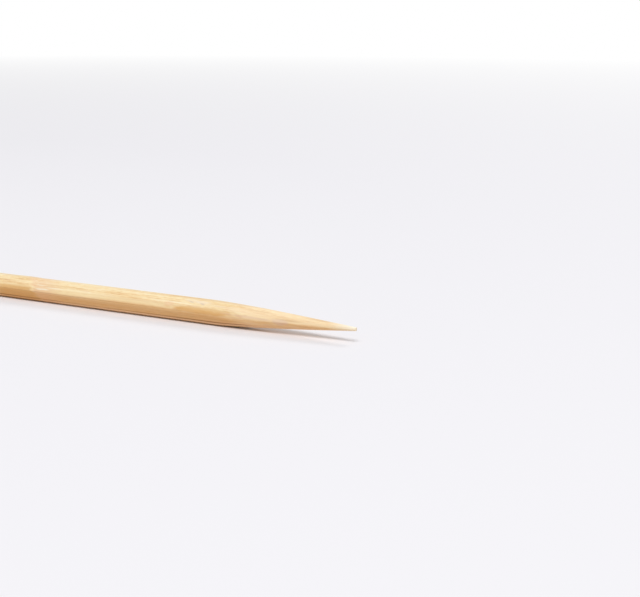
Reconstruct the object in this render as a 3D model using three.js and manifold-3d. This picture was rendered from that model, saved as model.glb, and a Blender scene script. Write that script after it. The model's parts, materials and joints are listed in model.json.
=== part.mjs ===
// A bamboo skewer: one split stick of bamboo, drawn through a round die, sawn square at one end and
// ground to a point at the other. It lies on the plane z = 0 with its length along X and its point at +X.
// Lengths are in millimetres. Angles are in degrees, round the rod from +Y (back) towards +Z (up).
import * as THREE from "three";
import { mergeVertices } from "three/addons/utils/BufferGeometryUtils.js";
import Module from "manifold-3d";

const wasm = await Module();
wasm.setup();

// The rod
const LENGTH = 300;
const DIE_DIAMETER = 3;
const SAWN_EDGE_BREAK = 0.12;

// The side of the rod that was the culm's skin
const SKIN_SIDE = 134;

// Flats that the split stick keeps where it didn't fill the die
const FLATS = [
  { side: "back", at: 20, depth: 0.05 },
  { side: "skin", at: SKIN_SIDE, depth: 0.12 },
  { side: "front", at: 200, depth: 0.08 },
  { side: "underside", at: 270, depth: 0.1 },
];

// Furrows along the rod between two bundles of fibre
const FURROWS = [
  { at: 46, width: 0.3, depth: 0.035 },
  { at: 71, width: 0.22, depth: 0.025 },
  { at: 92, width: 0.2, depth: 0.02 },
  { at: 178, width: 0.16, depth: 0.02 },
  { at: 218, width: 0.26, depth: 0.05 },
  { at: 241, width: 0.24, depth: 0.03 },
  { at: 318, width: 0.28, depth: 0.04 },
];

// The ground point
const POINT_LENGTH = 18;
const TIP_DIAMETER = 0.43;
const TIP_RISE = 0.2; // the tip is ground this far above the rod's axis
const POINT_FULLNESS = new THREE.Vector2(0.65, 0.8); // where its side bulges, from tip to shoulder

// The culm's joint: a low swelling on the skin side, with the sheath's scar as a groove on its tip side
const NODE_FROM_TIP = 47;
const NODE_LENGTH = 6;
const NODE_RISE = 0.08;
const SCAR_FROM_NODE = 2.2;
const SCAR_WIDTH = 0.9;
const SCAR_DEPTH = 0.05;

// How finely the curves are cut into facets
const ARC_STEP = 7.5;
const LEAST_TURN = 2.5;
const RING_SPACING = 12;
const LEAST_SPACING = 0.02;
const NODE_RINGS = 16;
const SCAR_RINGS = 8;
const POINT_RINGS = 20;
const POINT_SIDES = 60;

// How far the grinding tool reaches past what it cuts
const OVERCUT = 1;

// Corners nearer than this are one corner
const SAME_POINT = 1e-4;

const dieRadius = DIE_DIAMETER / 2;

// A point in the section's plane, as (y, z), at an angle and distance from the rod's axis.
function polar(angle, radius) {
  const a = THREE.MathUtils.degToRad(angle);
  return new THREE.Vector2(Math.cos(a), Math.sin(a)).multiplyScalar(radius);
}

// The signed turn from one angle to another, between -180 and 180.
function turn(from, to) {
  return THREE.MathUtils.euclideanModulo(to - from + 180, 360) - 180;
}

// The angle between a flat's middle and its edge, where its chord meets the die's circle.
function flatReach({ depth }) {
  return THREE.MathUtils.radToDeg(Math.acos(1 - depth / dieRadius));
}

// The angle between a furrow's middle and its edge.
function furrowReach({ width }) {
  return THREE.MathUtils.radToDeg(Math.asin(width / DIE_DIAMETER));
}

// The drawn section's radius at an angle: the die's circle, cut by each flat and dipped at each furrow.
function sectionRadius(angle) {
  let radius = dieRadius;
  for (const flat of FLATS) {
    const off = Math.abs(turn(flat.at, angle));
    if (off < flatReach(flat)) radius = (dieRadius - flat.depth) / Math.cos(THREE.MathUtils.degToRad(off));
  }
  for (const furrow of FURROWS) {
    const share = Math.abs(turn(furrow.at, angle)) / furrowReach(furrow);
    radius -= furrow.depth * Math.max(0, 1 - share);
  }
  return radius;
}

// The drawn section's outline, with a corner at each feature's edges and steps round the arcs between.
function sectionOutline() {
  const corners = FLATS.flatMap((flat) => [flat.at - flatReach(flat), flat.at + flatReach(flat)]);
  for (const furrow of FURROWS) {
    const reach = furrowReach(furrow);
    corners.push(furrow.at - reach, furrow.at, furrow.at + reach);
  }
  const steps = Array.from({ length: Math.round(360 / ARC_STEP) }, (_, i) => i * ARC_STEP);
  const clear = (angle) => corners.every((corner) => Math.abs(turn(corner, angle)) > LEAST_TURN);
  const wrap = (angle) => THREE.MathUtils.euclideanModulo(angle, 360);
  const angles = corners.concat(steps.filter(clear)).map(wrap).sort((a, b) => a - b);
  return angles.map((angle) => polar(angle, sectionRadius(angle)));
}

// A smooth hump, 1 at its middle and 0 from half its width outwards.
function hump(distance, width) {
  const share = Math.min(1, Math.abs(distance) / (width / 2));
  return (1 + Math.cos(Math.PI * share)) / 2;
}

// How far the culm's joint lifts the surface, at a place along the rod and a direction round it.
function nodeRise(x, direction) {
  const node = LENGTH / 2 - NODE_FROM_TIP;
  const skin = Math.max(0, direction.dot(polar(SKIN_SIDE, 1)));
  const swelling = NODE_RISE * hump(x - node, NODE_LENGTH);
  const scar = SCAR_DEPTH * hump(x - node - SCAR_FROM_NODE, SCAR_WIDTH);
  return skin * (swelling - scar);
}

// The places along the rod where a ring of its section is set, finer over the culm's joint and its scar.
function ringStations() {
  const count = Math.ceil(LENGTH / RING_SPACING);
  const node = LENGTH / 2 - NODE_FROM_TIP;
  const fine = [
    { middle: node, width: NODE_LENGTH, rings: NODE_RINGS },
    { middle: node + SCAR_FROM_NODE, width: SCAR_WIDTH, rings: SCAR_RINGS },
  ];
  const stations = [SAWN_EDGE_BREAK - LENGTH / 2];
  for (let i = 0; i <= count; i++) stations.push(LENGTH * (i / count - 0.5));
  for (const { middle, width, rings } of fine)
    for (let i = 0; i <= rings; i++) stations.push(middle + width * (i / rings - 0.5));
  stations.sort((a, b) => a - b);
  return stations.filter((x, i) => i === 0 || x - stations[i - 1] > LEAST_SPACING);
}

// A closed surface through rings of equal count, with a flat fan over each end.
function loft(rings) {
  const around = rings[0].length;
  const corners = rings.flat();
  const faces = [];
  for (let r = 0; r + 1 < rings.length; r++)
    for (let k = 0; k < around; k++) {
      const a = r * around + k;
      const b = r * around + ((k + 1) % around);
      faces.push(a, b, b + around, a, b + around, a + around);
    }
  [0, rings.length - 1].forEach((r) => {
    const middle = rings[r].reduce((sum, p) => sum.add(p), new THREE.Vector3()).divideScalar(around);
    corners.push(middle);
    for (let k = 0; k < around; k++) {
      const a = r * around + k;
      const b = r * around + ((k + 1) % around);
      if (r === 0) faces.push(corners.length - 1, b, a);
      else faces.push(corners.length - 1, a, b);
    }
  });
  return new THREE.BufferGeometry().setFromPoints(corners).setIndex(faces);
}

// The drawn rod before its point is ground, with its sawn edge broken.
function drawnRod() {
  const outline = sectionOutline();
  const rings = ringStations().map((x) => {
    const inset = x === -LENGTH / 2 ? SAWN_EDGE_BREAK : 0;
    return outline.map((p) => {
      const direction = p.clone().normalize();
      const reach = p.length() - inset + nodeRise(x, direction);
      return new THREE.Vector3(x, direction.x * reach, direction.y * reach);
    });
  });
  return loft(rings);
}

// What the grinding belt takes away: everything outside the point's full, slightly rounded side.
function grindingWaste() {
  const tip = new THREE.Vector2(TIP_DIAMETER / 2, 0);
  const shoulder = new THREE.Vector2(dieRadius, -POINT_LENGTH);
  const bulge = new THREE.Vector2(
    THREE.MathUtils.lerp(tip.x, shoulder.x, POINT_FULLNESS.y),
    THREE.MathUtils.lerp(tip.y, shoulder.y, POINT_FULLNESS.x),
  );
  const side = new THREE.QuadraticBezierCurve(tip, bulge, shoulder).getPoints(POINT_RINGS);
  const beyond = shoulder.clone().sub(bulge).setLength(OVERCUT).add(shoulder);
  const outside = dieRadius + NODE_RISE + OVERCUT;
  const profile = [
    new THREE.Vector2(tip.x, OVERCUT),
    ...side,
    beyond,
    new THREE.Vector2(outside, beyond.y),
    new THREE.Vector2(outside, OVERCUT),
    new THREE.Vector2(tip.x, OVERCUT),
  ];
  const waste = new THREE.LatheGeometry(profile, POINT_SIDES);
  const apex = new THREE.Vector3(LENGTH / 2, 0, TIP_RISE);
  const shoulderCentre = new THREE.Vector3(LENGTH / 2 - POINT_LENGTH, 0, 0);
  const along = apex.clone().sub(shoulderCentre).normalize();
  const turn = new THREE.Quaternion().setFromUnitVectors(new THREE.Vector3(0, 1, 0), along);
  return waste.applyQuaternion(turn).translate(apex.x, apex.y, apex.z);
}

// A closed geometry as a solid that can be cut.
function solidOf(geometry) {
  const bare = geometry.index ? geometry.toNonIndexed() : geometry.clone();
  bare.deleteAttribute("normal");
  bare.deleteAttribute("uv");
  const merged = mergeVertices(bare, SAME_POINT);
  return new wasm.Manifold(
    new wasm.Mesh({
      numProp: 3,
      vertProperties: merged.attributes.position.array,
      triVerts: new Uint32Array(merged.index.array),
    }),
  );
}

// A cut solid as a geometry again.
function geometryOf(solid) {
  const mesh = solid.getMesh();
  return new THREE.BufferGeometry()
    .setAttribute("position", new THREE.BufferAttribute(mesh.vertProperties, mesh.numProp))
    .setIndex(new THREE.BufferAttribute(mesh.triVerts, 1));
}

// The finished skewer, with the origin on the table under the middle of its box.
function skewerGeometry() {
  const geometry = geometryOf(solidOf(drawnRod()).subtract(solidOf(grindingWaste())));
  geometry.computeBoundingBox();
  const middle = geometry.boundingBox.getCenter(new THREE.Vector3());
  geometry.translate(-middle.x, -middle.y, -geometry.boundingBox.min.z);
  geometry.computeVertexNormals();
  return geometry;
}

const bamboo = new THREE.MeshStandardMaterial({ color: 0xe9c995, roughness: 0.6, metalness: 0 });

const skewer = new THREE.Mesh(skewerGeometry(), bamboo);
skewer.name = "skewer";

const model = new THREE.Group();
model.add(skewer);

export default model;
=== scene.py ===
# A bamboo skewer on a pale floor: a split stick of bamboo, drawn round and ground to a point at +X.
# Lengths are in millimetres until they reach the mesh. Angles are in degrees round the rod, from +Y
# (back) towards +Z (up).
import json
import math

import bpy
import numpy as np
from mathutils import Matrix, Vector

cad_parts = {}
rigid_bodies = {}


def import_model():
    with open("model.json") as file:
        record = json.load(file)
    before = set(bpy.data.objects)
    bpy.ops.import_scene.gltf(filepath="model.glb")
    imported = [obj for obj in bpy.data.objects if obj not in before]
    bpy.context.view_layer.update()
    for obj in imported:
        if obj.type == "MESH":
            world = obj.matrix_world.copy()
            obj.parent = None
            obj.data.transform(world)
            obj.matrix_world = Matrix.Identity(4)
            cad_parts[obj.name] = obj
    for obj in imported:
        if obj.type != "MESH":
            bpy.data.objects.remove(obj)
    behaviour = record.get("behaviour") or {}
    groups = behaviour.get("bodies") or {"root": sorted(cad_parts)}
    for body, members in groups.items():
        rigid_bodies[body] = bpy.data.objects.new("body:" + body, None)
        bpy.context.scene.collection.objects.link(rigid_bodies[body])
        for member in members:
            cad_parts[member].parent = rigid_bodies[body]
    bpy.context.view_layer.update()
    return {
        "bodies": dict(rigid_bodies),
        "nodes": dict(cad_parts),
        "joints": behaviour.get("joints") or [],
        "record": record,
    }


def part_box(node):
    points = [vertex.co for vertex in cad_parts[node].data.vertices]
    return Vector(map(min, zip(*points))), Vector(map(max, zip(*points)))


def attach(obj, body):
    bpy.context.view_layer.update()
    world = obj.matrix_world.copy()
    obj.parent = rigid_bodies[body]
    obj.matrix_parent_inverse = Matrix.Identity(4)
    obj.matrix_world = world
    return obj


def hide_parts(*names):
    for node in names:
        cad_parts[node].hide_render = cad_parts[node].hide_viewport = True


MM = 0.001

# The rod
DIE_RADIUS = 1.5
SAWN_EDGE_BREAK = 0.12
SKIN_SIDE = 134

# Flats: where each lies and its depth
FLATS = ((20, 0.05), (SKIN_SIDE, 0.12), (200, 0.08), (270, 0.1))

# Furrows: where each lies, its width and its depth
FURROWS = (
    (46, 0.3, 0.035),
    (71, 0.22, 0.025),
    (92, 0.2, 0.02),
    (178, 0.16, 0.02),
    (218, 0.26, 0.05),
    (241, 0.24, 0.03),
    (318, 0.28, 0.04),
)

# The ground point
POINT_LENGTH = 18
TIP_DIAMETER = 0.43
TIP_RISE = 0.2
TIP_ROUNDING = 0.02
POINT_FULLNESS = (0.65, 0.8)

# The culm's joint
NODE_FROM_TIP = 47
NODE_LENGTH = 6
NODE_RISE = 0.08
SCAR_FROM_NODE = 2.2
SCAR_WIDTH = 0.9
SCAR_DEPTH = 0.05

# Fine grooves between fibres: how many, and the least and most of each measure
GROOVES = 150
GROOVE_TURN = (3, 8)
GROOVE_LENGTH = (12, 90)
GROOVE_DEPTH = (0.003, 0.013)
GROOVE_DRIFT = (-0.03, 0.03)
DEEPEST_GROOVE = 0.03

# Unevenness: its depth, then the pitch along the rod, the waves round it and how many are summed
SHANK_UNEVENNESS = (0.012, (25, 70), (1, 3), 8)
POINT_UNEVENNESS = (0.02, (5, 16), (3, 9), 14)
SEED = 11

# How finely the surface is made
COLUMNS = 224
SHANK_STEP = 2.0
NEAR_STEP = 0.25
POINT_STEP = 0.16
NEAR_LENGTH = 58
SHOULDER_MARGIN = 2
LAST_RINGS = (0.05, 0.02)
BUTT_RINGS = (0.8, 0.6, 0.4, 0.2)
TIP_RINGS = (0.5,)
EDGE_SHARPNESS = 55
LEAST_SLOPE = 0.001
SMOOTHED_BELOW = 32

# The tan side is partly the wood's own colour and partly painted shade on the rod's lower side.
# Where the bright skin side turns to the tan side: its angle, its waves as swing, pitch and start, and
# the step where the tan reaches up, measured from the tip
TAN_AND_SHADE_FROM = 171
TAN_AND_SHADE_FADE = 32
TAN_AND_SHADE_ENDS = (352, 332)
TAN_AND_SHADE_WAVES = ((2.5, 7, 0), (1.5, 2.9, 1))
TAN_AND_SHADE_STEP = 15
STEP_PLACES = (24, 23.3, 20, 14)
TAN_AND_SHADE_ON_POINT = 6
POINT_PLACES = (19, 13)
TAN_AND_SHADE_ON_BUTT = 0.35

# The olive tint behind the culm's joint and the blush before it, measured from the tip
TINT_EDGE = 45.4
TINT_EDGE_LEAN = (0.02, 162)
TINT_EDGE_WAVES = ((0.25, 0.21), (0.12, 0.9))
TINT_EDGE_FADE = 0.35
TINT_END = (52.5, 50)
TINT_FRONT = ((140, 165), (262, 232))
BLUSH_FADE = 0.4
BLUSH_END = (40.5, 43.5)
BLUSH_SHARE = 0.9
# Painted shade: the olive colour laid on the lower side under the blush
PAINTED_SHADE_END = (41, 44)
PAINTED_SHADE_FRONT = (196, 210)
PAINTED_SHADE_SHARE = 0.45

# A painted highlight: a pale band above the tan side
PAINTED_HIGHLIGHT_FROM = (146, 154)
PAINTED_HIGHLIGHT_PAST_EDGE = 8
PAINTED_HIGHLIGHT_FADE = 12
PAINTED_HIGHLIGHT_IN_BLUSH = 0.6
PAINTED_HIGHLIGHT_IN_OLIVE = 0.5

# The pale line under the front furrow, a painted reflection of bounce light: its two edges with their
# fades, and its wave along the rod as mean, swing, pitch and start
PAINTED_REFLECTION_FROM, PAINTED_REFLECTION_FROM_FADE = 221, 0.06
PAINTED_REFLECTION_TO, PAINTED_REFLECTION_TO_FADE = 243, 0.2
PAINTED_REFLECTION_WAVE = (0.85, 0.15, 5, 2)

# The pale end of the tip, and the edge of the ground point's own colour
PALE_TIP = (3.5, 0.5)
PALE_TIP_FRONT = (235, 195)
GROUND_MARGIN = 1.5
GROUND_FADE = 2.5
GROUND_WAVE = (0.75, 0.15)

# Painted shade: the dark line in each furrow, stronger where the furrow is deeper. Its wave along the rod
# is a mean, a swing and a pitch
FURROW_SHADE_STRENGTH = 20
FURROW_SHADE_WIDTH = 1.2
FURROW_SHADE_WAVE = (0.6, 0.4, 6)
FURROW_SHADE_RADIUS = (1.15, 1.3)

# Patches: strength, distance from the tip, angle, length, width, slant and softness of the edge
OLIVE_BY_STEP = (0.9, 19.4, 163, 9.0, 0.8, 0, 0.5)
OLIVE_ON_POINT = ((0.6, 6.4, 184, 7.5, 0.3, 0, 0.5), (0.5, 12.2, 190, 5.0, 0.3, 0, 0.5))
BLUSH_PATCHES = (
    (0.8, 24.4, 150, 1.3, 0.6, 0, 0.5),
    (0.3, 5.5, 175, 4.0, 0.3, 0, 0.5),
    (0.5, 15.5, 214, 9.0, 0.5, 0, 0.5),
    (0.5, 8.0, 208, 7.0, 0.35, 0, 0.5),
)
LILAC_PATCHES = ((0.9, 9.4, 173, 2.0, 0.7, 0, 0.5), (0.6, 13.5, 166, 6.0, 0.3, 0.02, 0.5))
PALE_SCUFFS = (
    (1.0, 43.6, 161.4, 2.4, 0.16, -0.02, 0.8),
    (0.6, 44.1, 140, 1.6, 0.12, 0.02, 0.8),
    (0.5, 42.1, 150, 2.0, 0.1, 0.01, 0.8),
    (0.5, 20.5, 118, 3.4, 0.35, 0.02, 0.8),
)
GREY_SCUFFS = (
    (0.8, 21.5, 124.5, 0.75, 0.16, 0.25, 0.8),
    (0.5, 20.65, 121, 0.4, 0.1, -0.2, 0.8),
    (0.7, 20.0, 128, 0.6, 0.2, 0.3, 0.8),
    (0.4, 42.8, 146, 0.9, 0.1, 0.05, 0.8),
)

# A patch's ragged edge, as waves: swing, and how fast it turns along and across the rod
RAGGED_EDGE = ((0.25, 2.3, 5), (0.15, 5.1, -9))

# The grain's noises: cycles in a millimetre along and across it, detail, roughness and distortion
BROAD = ((0.09, 0.7, 0.7), 3, 0.55, 0.4)
STRANDS = ((0.06, 2.4, 2.4), 3, 0.6, 0.3)
FIBRES = ((0.16, 7.5, 7.5), 3, 0.65, 0)
FINE = ((0.6, 24, 24), 2, 0.5, 0)
FLECKS = ((0.5, 5.5, 5.5), 2, 0.5, 0.5)
MOTTLE = ((1.3, 5, 5), 2, 0.5, 0.3)
STREAKS = ((0.05, 9.5, 9.5), 2, 0.5, 0)
BUNDLE_CELLS = (0.014, 2.1, 2.1)

# The share of each noise in the wood's tone, and the range in which a noise shows
STRANDS_IN_TONE = 0.45
FIBRES_IN_TONE = 0.55
MOTTLE_IN_TONE = 0.22
TONE_RANGE = (0.34, 0.66)
BROAD_RANGE = (0.45, 0.62)
FLECKS_RANGE = (0.58, 0.68)
STREAKS_RANGE = (0.53, 0.68)
BUNDLE_RANGE = (0.36, 0.1)
TAN_AND_SHADE_RANGE = (0.2, 0.8)
TAN_AND_SHADE_RAGGEDNESS = 1.8
NOISE_MIDDLE = 0.5

# The wood's tone, from its darkest fibres to its palest
WOOD = (
    (0.0, (222, 180, 124)),
    (0.3, (244, 214, 162)),
    (0.6, (254, 235, 190)),
    (1.0, (255, 246, 216)),
)

# Tints over the wood: how much of each shows, and its colour
WARM = (0.26, (240, 198, 140))
ROSY = (0.3, (244, 204, 176))
# Partly the wood's own tan, partly painted shade on the lower side
TAN_AND_PAINTED_SHADE = (0.68, (228, 180, 122))
TAN_AND_SHADE_LOST_ON_POINT = 0.25
STREAK = (0.3, (208, 160, 104))
# A painted highlight above the tan side
PAINTED_HIGHLIGHT = (0.6, (255, 237, 192))
GROUND = (0.4, (252, 226, 192))
BUNDLE = (0.25, (196, 148, 92))
BUNDLE_ON_POINT = 0.15
BUNDLE_ON_BUTT = 0.4
MARK_TINTS = (
    # The pale line under the front furrow is a painted reflection of bounce light, the dark line in each
    # furrow is painted shade, and the olive tint also carries painted shade on the lower side near the
    # joint
    ("rim", 0.85, (255, 228, 202)),
    ("olive", 0.55, (222, 170, 94)),
    ("blush", 0.4, (240, 194, 160)),
    ("lilac", 0.4, (226, 196, 192)),
    ("furrow_shade", 0.75, (140, 88, 48)),
    ("scuff", 0.6, (196, 182, 184)),
    ("pale", 0.9, (255, 248, 228)),
)

# The wood's roughness and its finest relief
SATIN = 0.4
FIBRE_ROUGHNESS = 0.2
GROUND_ROUGHNESS = 0.12
BUNDLE_ROUGHNESS = 0.08
FIBRE_HEIGHT = 0.6
FINE_HEIGHT = 0.4
BUNDLE_DEPTH = 0.3
RELIEF = 0.04
RELIEF_STRENGTH = 0.7

# The floor: its reach and its fade to white are in metres, its drop below the rod in millimetres
FLOOR_REACH = 6
FLOOR_DROP = 0.02
FLOOR_SEEN = (236, 235, 239)
FLOOR_BOUNCE = (222, 203, 184)
FLOOR_ROUGHNESS = 0.9
FLOOR_FADE = (0.15, 0.7)

# The light: where the lamps aim, and each one's place and size in metres and its power
WORLD_LEVEL = 0.45
LAMP_TARGET = (0.05, 0, 0)
LAMPS = (("key", (0.4, -0.65, 1.3), 0.8, 13), ("back", (0.35, 0.9, 0.8), 0.4, 3))

# The camera: its place is in millimetres, its range in metres
CAMERA_AT = (208.987, -122.821, 37.611)
CAMERA_YAW = 27.37
CAMERA_PITCH = 13.4
CAMERA_RANGE = (0.005, 50)
FOCAL_PIXELS = 1250
FRAME_WIDTH = 640
SENSOR_WIDTH = 36


def srgb(red, green, blue):
    """A colour as it is read off a screen, 0 to 255, in the shader's linear numbers."""

    def linear(value):
        value /= 255
        return value / 12.92 if value <= 0.04045 else ((value + 0.055) / 1.055) ** 2.4

    return (linear(red), linear(green), linear(blue), 1)


def hump(distance, width):
    """A smooth hump: 1 at its middle, 0 from half its width outwards."""
    share = np.minimum(1, np.abs(distance) / (width / 2))
    return (1 + np.cos(np.pi * share)) / 2


def rise(value, start, end):
    """A straight rise from 0 at the start to 1 at the end, flat beyond both."""
    return np.clip((value - start) / (end - start), 0, 1)


def smooth_least(first, second):
    """The lesser of two radii, with the edge where they meet rounded off."""
    high, low = np.maximum(first, second), np.minimum(first, second)
    return low - np.log1p(np.exp(-EDGE_SHARPNESS * (high - low))) / EDGE_SHARPNESS


def turn_between(angles, middle):
    """The signed turn from a middle to each angle, in degrees."""
    return (angles - middle + 180) % 360 - 180


def section_radius(angles):
    """The drawn section: the die's circle with its flats and furrows."""
    radius = np.full_like(angles, DIE_RADIUS)
    for at, depth in FLATS:
        cosine = np.cos(np.radians(turn_between(angles, at)))
        chord = np.where(cosine > 0.5, (DIE_RADIUS - depth) / np.maximum(cosine, 0.5), 2 * DIE_RADIUS)
        radius = smooth_least(radius, chord)
    for at, width, depth in FURROWS:
        reach = np.degrees(np.arcsin(width / (2 * DIE_RADIUS)))
        radius = radius - depth * hump(turn_between(angles, at), 2 * reach)
    return radius


def fibre_relief(x, angles, dice):
    """Fine grooves between fibres, each of its own length, cut into the drawn surface."""
    depth = np.zeros((len(x), len(angles)))
    for _ in range(GROOVES):
        at = dice.uniform(0, 360)
        width = dice.uniform(*GROOVE_TURN)
        length = dice.uniform(*GROOVE_LENGTH)
        middle = dice.uniform(x[0], x[-1])
        deep = dice.uniform(*GROOVE_DEPTH)
        drift = dice.uniform(*GROOVE_DRIFT)
        turn = turn_between(angles[None, :], at + drift * (x[:, None] - middle))
        depth += deep * hump(turn, width) * hump(x - middle, length)[:, None]
    return np.minimum(depth, DEEPEST_GROOVE)


def unevenness(x, angles, dice, depth, along, around, count):
    """Slow seeded waves over the surface, from 0 to their full depth."""
    total = np.zeros((len(x), len(angles)))
    for _ in range(count):
        pitch = dice.uniform(*along)
        turns = dice.randint(around[0], around[1] + 1)
        phase = dice.uniform(0, 2 * np.pi, 2)
        lengthwise = np.cos(2 * np.pi * x / pitch + phase[0])
        total += lengthwise[:, None] * np.cos(turns * np.radians(angles) + phase[1])
    return depth * (0.5 + 0.5 * np.tanh(total / math.sqrt(count)))


def point_profile(from_tip):
    """The ground point's radius at a distance from its end."""
    tip, bulge = TIP_DIAMETER / 2, POINT_FULLNESS[0] * POINT_LENGTH
    bulge_radius = tip + (DIE_RADIUS - tip) * POINT_FULLNESS[1]
    curve = POINT_LENGTH - 2 * bulge
    t = (np.sqrt(bulge * bulge + curve * from_tip) - bulge) / curve
    return (1 - t) ** 2 * tip + 2 * t * (1 - t) * bulge_radius + t * t * DIE_RADIUS


def ground_radius(x, angles, half):
    """The ground point's surface, as a radius from the rod's axis."""
    from_tip = np.maximum(half - x, 0)
    last, clear = POINT_LENGTH + 1, 3 * DIE_RADIUS
    profile = np.where(from_tip > last, clear, point_profile(np.minimum(from_tip, last)))
    off_axis = TIP_RISE * np.clip(1 - from_tip / POINT_LENGTH, 0, 1)
    lift = off_axis[:, None] * np.sin(np.radians(angles))[None, :]
    return lift + np.sqrt(profile[:, None] ** 2 - off_axis[:, None] ** 2 + lift**2)


class Rod:
    """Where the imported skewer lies, read from its box and its mounts."""

    def __init__(self, frame):
        places = {mount["name"]: [v / MM for v in mount["pos_m"]] for mount in frame["record"]["mounts"]}
        low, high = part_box("skewer")
        self.half = (high[0] - low[0]) / MM / 2
        self.axis_y, self.axis_z = places["butt_end"][1:]


def stations(half):
    """Where the rings lie along the rod: sparse on the shank, closer near the point."""
    shoulder, near = half - POINT_LENGTH - SHOULDER_MARGIN, half - NEAR_LENGTH
    return np.concatenate(
        [
            [-half, -half + SAWN_EDGE_BREAK / 2, -half + SAWN_EDGE_BREAK],
            np.arange(-half + SHANK_STEP, near, SHANK_STEP),
            np.arange(near, shoulder, NEAR_STEP),
            np.arange(shoulder, half - POINT_STEP, POINT_STEP),
            [half - LAST_RINGS[0], half - LAST_RINGS[1], half],
        ]
    )


def skewer_surface(rod):
    """The rings' places along the rod, their angles, and the radius at each."""
    dice = np.random.RandomState(SEED)
    x = stations(rod.half)
    angles = np.arange(COLUMNS) * 360 / COLUMNS
    node = rod.half - NODE_FROM_TIP
    skin = np.maximum(0, np.cos(np.radians(turn_between(angles, SKIN_SIDE))))
    joint = NODE_RISE * hump(x - node, NODE_LENGTH)
    joint -= SCAR_DEPTH * hump(x - node - SCAR_FROM_NODE, SCAR_WIDTH)
    drawn = section_radius(angles)[None, :] + joint[:, None] * skin[None, :]
    drawn = drawn - fibre_relief(x, angles, dice)
    drawn -= unevenness(x, angles, dice, *SHANK_UNEVENNESS)
    ground = ground_radius(x, angles, rod.half)
    ground -= unevenness(x, angles, dice, *POINT_UNEVENNESS)
    radius = smooth_least(drawn, ground)
    radius[0] -= SAWN_EDGE_BREAK
    radius[1] -= SAWN_EDGE_BREAK / 3
    radius[-1] -= TIP_ROUNDING
    underside = rod.axis_z / np.maximum(-np.sin(np.radians(angles)), LEAST_SLOPE)
    return x, angles, np.minimum(radius, underside[None, :])


def add_band(faces, outer, inner, turn):
    """Quads between two rings of corners, or triangles where the inner one is a single corner."""
    for k in range(COLUMNS):
        after = (k + 1) % COLUMNS
        face = (outer[k], outer[after], inner[0])
        if len(inner) > 1:
            face = (outer[k], outer[after], inner[after], inner[k])
        faces.append(face[::turn])


def close_end(grain, faces, rim, shares, turn):
    """Close an end of the rod with rings that shrink to its middle."""
    edge = np.array([grain[i] for i in rim])
    middle = np.mean(edge, axis=0)
    for share in shares:
        inner = range(len(grain), len(grain) + COLUMNS)
        grain.extend(map(tuple, middle + (edge - middle) * share))
        add_band(faces, rim, inner, turn)
        rim = inner
    grain.append(tuple(middle))
    add_band(faces, rim, [len(grain) - 1], turn)


def skewer_corners(rod):
    """The surface's corners, measured from the rod's axis, and its faces."""
    x, angles, radius = skewer_surface(rod)
    y = radius * np.cos(np.radians(angles))
    z = radius * np.sin(np.radians(angles))
    along = np.repeat(x[:, None], COLUMNS, 1)
    grain = list(map(tuple, np.stack([along, y, z], axis=-1).reshape(-1, 3)))
    rings = [range(ring * COLUMNS, (ring + 1) * COLUMNS) for ring in range(len(x))]
    faces = []
    for ring, following in zip(rings, rings[1:]):
        add_band(faces, ring, following, 1)
    close_end(grain, faces, rings[0], BUTT_RINGS, -1)
    close_end(grain, faces, rings[-1], TIP_RINGS, 1)
    return np.array(grain), faces


def skewer_mesh(rod):
    """The skewer's mesh, with its place in the bamboo and its marks kept as attributes."""
    grain, faces = skewer_corners(rod)
    place = grain + np.array([0, rod.axis_y, rod.axis_z])
    mesh = bpy.data.meshes.new("skewer_dressed")
    mesh.from_pydata((place * MM).tolist(), [], faces)
    keep = mesh.attributes.new("grain", "FLOAT_VECTOR", "POINT")
    keep.data.foreach_set("vector", grain.astype(np.float32).ravel())
    for name, values in surface_marks(rod, grain).items():
        field = mesh.attributes.new(name, "FLOAT", "POINT")
        field.data.foreach_set("value", values.astype(np.float32))
    mesh.validate()
    mesh.shade_smooth()
    mesh.set_sharp_from_angle(angle=math.radians(SMOOTHED_BELOW))
    return mesh


def across(grain, angle):
    """How far round the surface each place lies from an angle, in millimetres."""
    angles = np.degrees(np.arctan2(grain[:, 2], grain[:, 1]))
    return np.radians(turn_between(angles, angle)) * np.hypot(grain[:, 1], grain[:, 2])


def patch(grain, tip, strength, from_tip, angle, length, width, slant, soft):
    """An oval mark on the surface, from 0 to its strength."""
    off = grain[:, 0] - (tip - from_tip)
    aside = across(grain, angle) - slant * off
    reach = np.hypot(off / (length / 2), aside / (width / 2))
    for swing, along, round_it in RAGGED_EDGE:
        reach += soft * swing * np.sin(grain[:, 0] * along + aside * round_it)
    return strength * rise(reach, 1 + soft / 2, 1 - soft / 2)


def patches(grain, tip, rows):
    """A row of patches added up."""
    return sum(patch(grain, tip, *row) for row in rows)


def tan_and_shade_edge(x, from_tip):
    """The angle where the bright skin side turns to the tan side, whose tan is partly painted shade,
    wandering along the rod.
    """
    angle = TAN_AND_SHADE_FROM + sum(swing * np.sin(x / pitch + start) for swing, pitch, start in TAN_AND_SHADE_WAVES)
    step = rise(from_tip, *STEP_PLACES[:2]) * rise(from_tip, STEP_PLACES[3], STEP_PLACES[2])
    return angle - TAN_AND_SHADE_STEP * step + TAN_AND_SHADE_ON_POINT * rise(from_tip, *POINT_PLACES)


def tint_edge(angles):
    """How far from the tip the joint's olive tint ends, at each angle."""
    lean, middle = TINT_EDGE_LEAN
    waves = sum(swing * np.sin(angles * speed) for swing, speed in TINT_EDGE_WAVES)
    return TINT_EDGE - lean * (angles - middle) - waves


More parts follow.
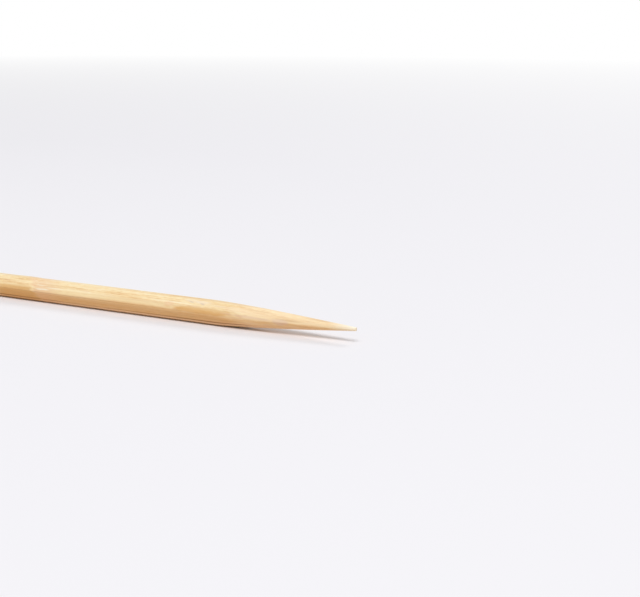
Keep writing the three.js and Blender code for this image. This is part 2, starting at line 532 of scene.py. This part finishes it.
def olive_tint_and_painted_shade(grain, tip, angles, before_joint):
    """The olive tint behind the culm's joint and patches of it, with painted shade as a weaker olive on the
    lower side under its blush.
    """
    from_tip = tip - grain[:, 0]
    front = rise(angles, *TINT_FRONT[0]) * rise(angles, *TINT_FRONT[1])
    joint = rise(-before_joint, 0, TINT_EDGE_FADE) * rise(from_tip, *TINT_END)
    # Painted shade on the lower side under the blush
    painted_shade = rise(from_tip, *PAINTED_SHADE_END) * rise(before_joint, 0, BLUSH_FADE) * rise(angles, *PAINTED_SHADE_FRONT)
    olive = np.clip(joint * front + patch(grain, tip, *OLIVE_BY_STEP), 0, 1)
    return np.clip(olive + patches(grain, tip, OLIVE_ON_POINT) + PAINTED_SHADE_SHARE * painted_shade, 0, 1)


def painted_furrow_shade(grain):
    """Painted shade: a dark line in each furrow, stronger where the furrow is deeper, coming and going
    along the rod.
    """
    furrow_shade = np.zeros(len(grain))
    mean, swing, pitch = FURROW_SHADE_WAVE
    for at, width, depth in FURROWS:
        strength = FURROW_SHADE_STRENGTH * depth * (mean + swing * np.sin(grain[:, 0] / pitch + at))
        furrow_shade = np.maximum(furrow_shade, strength * hump(across(grain, at), FURROW_SHADE_WIDTH * width))
    radius = np.hypot(grain[:, 1], grain[:, 2])
    return np.clip(furrow_shade, 0, 1) * rise(radius, *FURROW_SHADE_RADIUS)


def surface_marks(rod, grain):
    """Where the bamboo is tinted or scuffed, and where shade, a highlight and a reflection are painted on,
    each mark from 0 to its full strength.
    """
    x = grain[:, 0]
    tip = rod.half
    from_tip = tip - x
    angles = np.degrees(np.arctan2(grain[:, 2], grain[:, 1])) % 360
    before_joint = tint_edge(angles) - from_tip
    olive = olive_tint_and_painted_shade(grain, tip, angles, before_joint)
    blush = rise(before_joint, 0, BLUSH_FADE) * rise(from_tip, *BLUSH_END)
    edge = tan_and_shade_edge(x, from_tip)
    # Partly the wood's own tan, partly painted shade on the lower side
    tan_and_shade = rise(angles - edge, -TAN_AND_SHADE_FADE / 2, TAN_AND_SHADE_FADE / 2) * rise(angles, *TAN_AND_SHADE_ENDS)
    # Painted highlight: a pale band above the tan side
    painted_highlight = rise(angles, *PAINTED_HIGHLIGHT_FROM) * rise(edge + PAINTED_HIGHLIGHT_PAST_EDGE - angles, 0, PAINTED_HIGHLIGHT_FADE)
    painted_highlight *= (1 - PAINTED_HIGHLIGHT_IN_BLUSH * blush) * (1 - PAINTED_HIGHLIGHT_IN_OLIVE * olive)
    # Painted reflection of bounce light: a pale line along the underside
    rim = rise(across(grain, PAINTED_REFLECTION_FROM), 0, PAINTED_REFLECTION_FROM_FADE) * rise(across(grain, PAINTED_REFLECTION_TO), 0, -PAINTED_REFLECTION_TO_FADE)
    mean, swing, pitch, start = PAINTED_REFLECTION_WAVE
    rim *= mean + swing * np.sin(x / pitch + start)
    waver = GROUND_WAVE[0] * np.sin(angles * GROUND_WAVE[1])
    tip_end = rise(from_tip, *PALE_TIP) * rise(angles, *PALE_TIP_FRONT)
    sawn = np.where(x < SAWN_EDGE_BREAK / 4 - tip, 1.0, 0.0)
    side = 1 - sawn
    return {
        "sawn": sawn,
        "shade": side * tan_and_shade + TAN_AND_SHADE_ON_BUTT * sawn,
        "painted_highlight": side * painted_highlight,
        "ground": rise(POINT_LENGTH - GROUND_MARGIN - from_tip + waver, 0, GROUND_FADE),
        "olive": olive,
        "blush": BLUSH_SHARE * blush + patches(grain, tip, BLUSH_PATCHES),
        "lilac": patches(grain, tip, LILAC_PATCHES),
        "rim": side * rim,
        "furrow_shade": side * painted_furrow_shade(grain),
        "pale": patches(grain, tip, PALE_SCUFFS) + tip_end,
        "scuff": patches(grain, tip, GREY_SCUFFS),
    }


class Nodes:
    """Shorthand for building a material's nodes."""

    def __init__(self, name):
        self.material = bpy.data.materials.new(name)
        self.material.use_nodes = True
        self.tree = self.material.node_tree
        self.shader = self.tree.nodes["Principled BSDF"]
        self.output = self.tree.nodes["Material Output"]

    def add(self, kind, **settings):
        made = self.tree.nodes.new("ShaderNode" + kind)
        for name, value in settings.items():
            setattr(made, name, value)
        return made

    def put(self, socket, value):
        if isinstance(value, bpy.types.NodeSocket):
            self.tree.links.new(value, socket)
        else:
            socket.default_value = value

    def math(self, operation, first, second):
        made = self.add("Math", operation=operation)
        self.put(made.inputs[0], first)
        self.put(made.inputs[1], second)
        return made.outputs[0]

    def times(self, first, second):
        return self.math("MULTIPLY", first, second)

    def plus(self, first, second):
        return self.math("ADD", first, second)

    def minus(self, first, second):
        return self.math("SUBTRACT", first, second)

    def stretch(self, vector, scale):
        made = self.add("VectorMath", operation="MULTIPLY")
        self.put(made.inputs[0], vector)
        made.inputs[1].default_value = scale
        return made.outputs[0]

    def noise(self, vector, scale, detail, roughness, distortion):
        made = self.add("TexNoise")
        self.put(made.inputs["Vector"], self.stretch(vector, scale))
        made.inputs["Scale"].default_value = 1
        made.inputs["Detail"].default_value = detail
        made.inputs["Roughness"].default_value = roughness
        made.inputs["Distortion"].default_value = distortion
        return made.outputs["Fac"]

    def cells(self, vector, scale):
        made = self.add("TexVoronoi", feature="F1", voronoi_dimensions="3D")
        self.put(made.inputs["Vector"], self.stretch(vector, scale))
        made.inputs["Scale"].default_value = 1
        return made.outputs["Distance"]

    def mix(self, share, first, second):
        made = self.add("Mix", data_type="RGBA", clamp_factor=True)
        self.put(made.inputs["Factor"], share)
        self.put(made.inputs[6], first)
        self.put(made.inputs[7], second)
        return made.outputs[2]

    def tint(self, colour, where, share, tint):
        """The colour with a tint over it: where it lies, and how much of it shows there."""
        return self.mix(self.times(where, share), colour, srgb(*tint))

    def ramp(self, share, stops):
        made = self.add("ValToRGB")
        elements = made.color_ramp.elements
        while len(elements) < len(stops):
            elements.new(0.5)
        for element, (place, colour) in zip(elements, stops):
            element.position = place
            element.color = srgb(*colour)
        self.put(made.inputs[0], share)
        return made.outputs[0]

    def spread(self, value, low, high):
        made = self.add("MapRange", clamp=True)
        self.put(made.inputs["Value"], value)
        made.inputs["From Min"].default_value = low
        made.inputs["From Max"].default_value = high
        return made.outputs["Result"]

    def mark(self, name):
        return self.add("Attribute", attribute_name=name).outputs["Fac"]


def wood_tone(n, grain, fibres):
    """The bare wood's colour, before it is tinted."""
    tone = n.times(n.noise(grain, *STRANDS), STRANDS_IN_TONE)
    tone = n.plus(tone, n.times(fibres, FIBRES_IN_TONE))
    mottle = n.minus(n.noise(grain, *MOTTLE), NOISE_MIDDLE)
    tone = n.plus(tone, n.times(mottle, MOTTLE_IN_TONE))
    return n.ramp(n.spread(tone, *TONE_RANGE), WOOD)


def tan_and_painted_shade(n, fibres, ground):
    """How tan the wood is, partly its own tan and partly painted shade on the lower side: ragged between
    its fibres, and less on the ground point.
    """
    ragged = n.times(n.minus(fibres, NOISE_MIDDLE), TAN_AND_SHADE_RAGGEDNESS)
    shade = n.spread(n.plus(n.mark("shade"), ragged), *TAN_AND_SHADE_RANGE)
    return n.times(shade, n.minus(TAN_AND_PAINTED_SHADE[0], n.times(ground, TAN_AND_SHADE_LOST_ON_POINT)))


def bundle_share(n, ground):
    """How clearly the bundles show: most on the sawn butt, where they are cut across."""
    cut = n.plus(BUNDLE[0], n.times(ground, BUNDLE_ON_POINT))
    return n.plus(cut, n.times(n.mark("sawn"), BUNDLE_ON_BUTT))


def bamboo_colour(n, grain, fibres, bundle, ground):
    """The wood with its tints, painted shade, a painted highlight and a painted reflection laid over it in
    turn.
    """
    colour = wood_tone(n, grain, fibres)
    colour = n.tint(colour, n.spread(n.noise(grain, *BROAD), *BROAD_RANGE), *WARM)
    colour = n.tint(colour, n.spread(n.noise(grain, *FLECKS), *FLECKS_RANGE), *ROSY)
    # Tan, partly the wood's own and partly painted shade on the lower side
    colour = n.mix(tan_and_painted_shade(n, fibres, ground), colour, srgb(*TAN_AND_PAINTED_SHADE[1]))
    colour = n.tint(colour, n.spread(n.noise(grain, *STREAKS), *STREAKS_RANGE), *STREAK)
    # Painted highlight above the tan side
    colour = n.tint(colour, n.mark("painted_highlight"), *PAINTED_HIGHLIGHT)
    colour = n.tint(colour, ground, *GROUND)
    colour = n.mix(n.times(bundle, bundle_share(n, ground)), colour, srgb(*BUNDLE[1]))
    for name, share, tint in MARK_TINTS:
        colour = n.tint(colour, n.mark(name), share, tint)
    return colour


def bamboo_roughness(n, fibres, bundle, ground):
    rough = n.plus(n.times(fibres, FIBRE_ROUGHNESS), SATIN)
    rough = n.plus(rough, n.times(ground, GROUND_ROUGHNESS))
    return n.plus(rough, n.times(bundle, BUNDLE_ROUGHNESS))


def bamboo_relief(n, grain, fibres, bundle):
    """The finest relief, as a bump: fibres stand up and bundles lie low."""
    height = n.plus(n.times(fibres, FIBRE_HEIGHT), n.times(n.noise(grain, *FINE), FINE_HEIGHT))
    height = n.minus(height, n.times(bundle, BUNDLE_DEPTH))
    bump = n.add("Bump")
    bump.inputs["Strength"].default_value = RELIEF_STRENGTH
    bump.inputs["Distance"].default_value = RELIEF * MM
    n.put(bump.inputs["Height"], height)
    return bump.outputs[0]


def bamboo_material():
    """Bamboo in the solid: fibres and bundles run along the rod, and a cut across them shows their ends."""
    n = Nodes("bamboo")
    grain = n.add("Attribute", attribute_name="grain").outputs["Vector"]
    fibres = n.noise(grain, *FIBRES)
    bundle = n.spread(n.cells(grain, BUNDLE_CELLS), *BUNDLE_RANGE)
    ground = n.mark("ground")
    n.put(n.shader.inputs["Base Color"], bamboo_colour(n, grain, fibres, bundle, ground))
    n.put(n.shader.inputs["Roughness"], bamboo_roughness(n, fibres, bundle, ground))
    n.put(n.shader.inputs["Normal"], bamboo_relief(n, grain, fibres, bundle))
    return n.material


def dress_skewer(rod):
    skewer = bpy.data.objects.new("skewer_dressed", skewer_mesh(rod))
    bpy.context.scene.collection.objects.link(skewer)
    skewer.data.materials.append(bamboo_material())
    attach(skewer, "root")
    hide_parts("skewer")


def floor_material():
    """A pale floor that fades to white far off, whose bounce is that of a warm table."""
    n = Nodes("floor")
    seen = n.add("LightPath").outputs["Is Camera Ray"]
    n.put(n.shader.inputs["Base Color"], n.mix(seen, srgb(*FLOOR_BOUNCE), srgb(*FLOOR_SEEN)))
    n.shader.inputs["Roughness"].default_value = FLOOR_ROUGHNESS
    n.shader.inputs["Specular IOR Level"].default_value = 0.0
    far = n.add("VectorMath", operation="LENGTH")
    n.put(far.inputs[0], n.add("NewGeometry").outputs["Position"])
    white = n.add("Emission")
    blend = n.add("MixShader")
    n.put(blend.inputs[0], n.times(n.spread(far.outputs["Value"], *FLOOR_FADE), seen))
    n.put(blend.inputs[1], n.shader.outputs[0])
    n.put(blend.inputs[2], white.outputs[0])
    n.put(n.output.inputs["Surface"], blend.outputs[0])
    return n.material


def add_floor():
    mesh = bpy.data.meshes.new("floor")
    corners = [(-1, -1), (1, -1), (1, 1), (-1, 1)]
    mesh.from_pydata([(x * FLOOR_REACH, y * FLOOR_REACH, 0) for x, y in corners], [], [(0, 1, 2, 3)])
    floor = bpy.data.objects.new("floor", mesh)
    floor.location.z = -FLOOR_DROP * MM
    bpy.context.scene.collection.objects.link(floor)
    floor.data.materials.append(floor_material())


def add_camera():
    data = bpy.data.cameras.new("camera")
    data.sensor_width = SENSOR_WIDTH
    data.lens = FOCAL_PIXELS * SENSOR_WIDTH / FRAME_WIDTH
    data.clip_start, data.clip_end = CAMERA_RANGE
    camera = bpy.data.objects.new("camera", data)
    camera.location = Vector(CAMERA_AT) * MM
    camera.rotation_euler = (math.radians(90 - CAMERA_PITCH), 0, math.radians(CAMERA_YAW))
    bpy.context.scene.collection.objects.link(camera)
    bpy.context.scene.camera = camera


def add_lamp(name, place, size, power):
    data = bpy.data.lights.new(name, "AREA")
    data.shape = "DISK"
    data.size = size
    data.energy = power
    lamp = bpy.data.objects.new(name, data)
    lamp.location = place
    lamp.rotation_euler = (Vector(LAMP_TARGET) - Vector(place)).to_track_quat("-Z", "Y").to_euler()
    bpy.context.scene.collection.objects.link(lamp)


def light_scene():
    """A soft world that the camera sees as white, and the lamps."""
    world = bpy.data.worlds.new("world")
    world.use_nodes = True
    bpy.context.scene.world = world
    tree = world.node_tree
    back = tree.nodes["Background"]
    back.inputs["Color"].default_value = (1, 1, 1, 1)
    seen = tree.nodes.new("ShaderNodeLightPath")
    level = tree.nodes.new("ShaderNodeMapRange")
    level.inputs["To Min"].default_value = WORLD_LEVEL
    tree.links.new(seen.outputs["Is Camera Ray"], level.inputs["Value"])
    tree.links.new(level.outputs["Result"], back.inputs["Strength"])
    for lamp in LAMPS:
        add_lamp(*lamp)


def main():
    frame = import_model()
    rod = Rod(frame)
    add_camera()
    add_floor()
    light_scene()
    dress_skewer(rod)
    bpy.context.scene.view_settings.view_transform = "Standard"


main()
